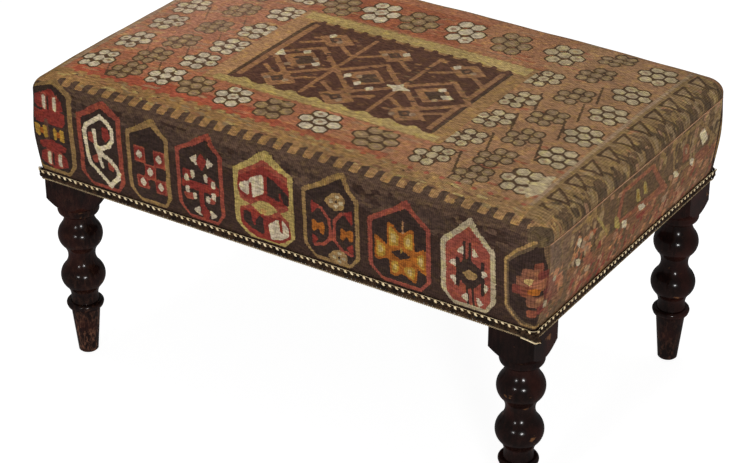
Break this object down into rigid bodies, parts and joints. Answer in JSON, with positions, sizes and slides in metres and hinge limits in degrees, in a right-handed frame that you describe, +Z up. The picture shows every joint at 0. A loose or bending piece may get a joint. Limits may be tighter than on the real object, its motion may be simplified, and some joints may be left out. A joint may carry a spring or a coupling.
{
  "type": "upholstered bench",
  "caption": "Low rectangular bench with a padded seat under a patterned flat-woven cover, braid round its lower edge, on turned bobbin legs.",
  "frame": {"origin": "on the floor, under the middle of the seat", "axes": "+X along the seat to the right, -Y to the front, +Z up"},
  "size_m": [0.8844, 0.578, 0.497],
  "materials": {
    "leg_wood": "gloss",
    "frame_wood": "matte",
    "dowel_wood": "matte",
    "screw_steel": "satin",
    "tack_steel": "satin",
    "webbing": "matte",
    "hessian": "matte",
    "foam": "matte",
    "calico": "matte",
    "wadding": "matte",
    "kilim": "matte",
    "seam_thread": "matte",
    "gimp": "matte",
    "edging": "matte",
    "dust_cloth": "matte"
  },
  "bodies": {
    "root": {"leg_front_left": "leg_wood", "leg_front_right": "leg_wood", "leg_back_left": "leg_wood", "leg_back_right": "leg_wood", "rail_front": "frame_wood", "rail_back": "frame_wood", "rail_left": "frame_wood", "rail_right": "frame_wood", "centre_rail": "frame_wood", "frame_dowels": "dowel_wood", "brace_front_left": "frame_wood", "brace_front_right": "frame_wood", "brace_back_left": "frame_wood", "brace_back_right": "frame_wood", "brace_screws": "screw_steel", "webbing_lengthwise": "webbing", "webbing_crosswise": "webbing", "webbing_tacks": "tack_steel", "hessian": "hessian", "foam_core": "foam", "calico_lining": "calico", "wadding": "wadding", "cover": "kilim", "side_panel_left": "kilim", "side_panel_right": "kilim", "seam_left": "seam_thread", "seam_right": "seam_thread", "gimp": "gimp", "edge_cord": "edging", "gimp_pins": "tack_steel", "dust_cover": "dust_cloth", "dust_cover_tacks": "tack_steel"}
  },
  "joints": []
}
